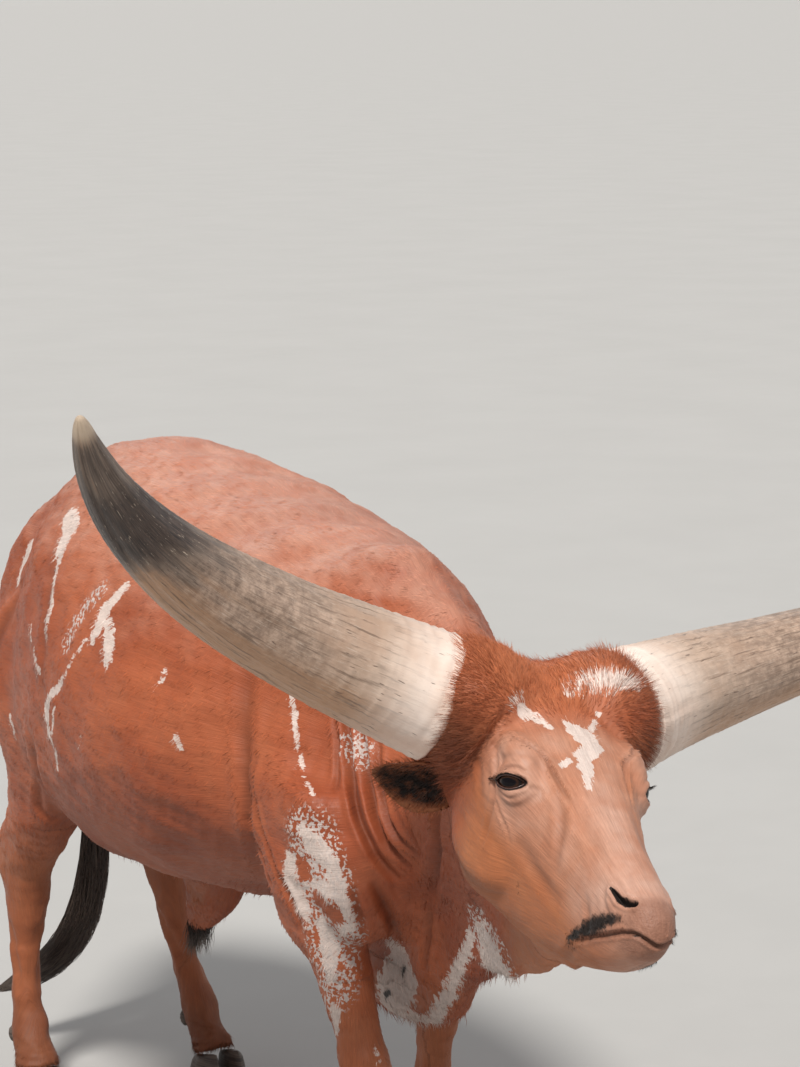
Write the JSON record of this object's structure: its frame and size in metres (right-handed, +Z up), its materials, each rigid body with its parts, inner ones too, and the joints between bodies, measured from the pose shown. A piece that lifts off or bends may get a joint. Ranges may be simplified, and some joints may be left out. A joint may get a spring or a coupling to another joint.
{
  "type": "ankole-watusi steer",
  "caption": "Life-size standing long-horned steer with a smooth red coat, huge upswept horns, hanging dewlap and tufted tail, as a still museum model.",
  "frame": {"origin": "on the floor, at the middle of the footprint of the model's box", "axes": "+Z up, -Y the way the body faces, +X the animal's left"},
  "size_m": [1.7594, 2.6666, 1.6876],
  "materials": {
    "body_coat": "short glossy red-brown hair",
    "face_coat": "very short pinkish tan hair",
    "ear_coat": "soft dark hair",
    "leg_coat": "short tan to brown hair",
    "sheath_skin": "thin soft skin with sparse hair",
    "switch_hair": "long coarse near-black hair",
    "horn": "weathered streaked horn",
    "eye": "wet and glossy",
    "hoof": "worn dark hoof horn"
  },
  "bodies": {
    "root": {"ear_left": "ear_coat", "ear_right": "ear_coat", "eye_left": "eye", "eye_right": "eye", "fore_left_claw_left": "hoof", "fore_left_claw_right": "hoof", "fore_left_dewclaw_left": "hoof", "fore_left_dewclaw_right": "hoof", "fore_left_leg": "body_coat", "fore_left_shank": "leg_coat", "fore_right_claw_left": "hoof", "fore_right_claw_right": "hoof", "fore_right_dewclaw_left": "hoof", "fore_right_dewclaw_right": "hoof", "fore_right_leg": "body_coat", "fore_right_shank": "leg_coat", "head": "face_coat", "hind_left_claw_left": "hoof", "hind_left_claw_right": "hoof", "hind_left_dewclaw_left": "hoof", "hind_left_dewclaw_right": "hoof", "hind_left_leg": "body_coat", "hind_left_shank": "leg_coat", "hind_right_claw_left": "hoof", "hind_right_claw_right": "hoof", "hind_right_dewclaw_left": "hoof", "hind_right_dewclaw_right": "hoof", "hind_right_leg": "body_coat", "hind_right_shank": "leg_coat", "horn_left": "horn", "horn_right": "horn", "neck": "body_coat", "sheath": "sheath_skin", "tail": "body_coat", "tail_switch": "switch_hair", "torso": "body_coat"}
  },
  "joints": []
}
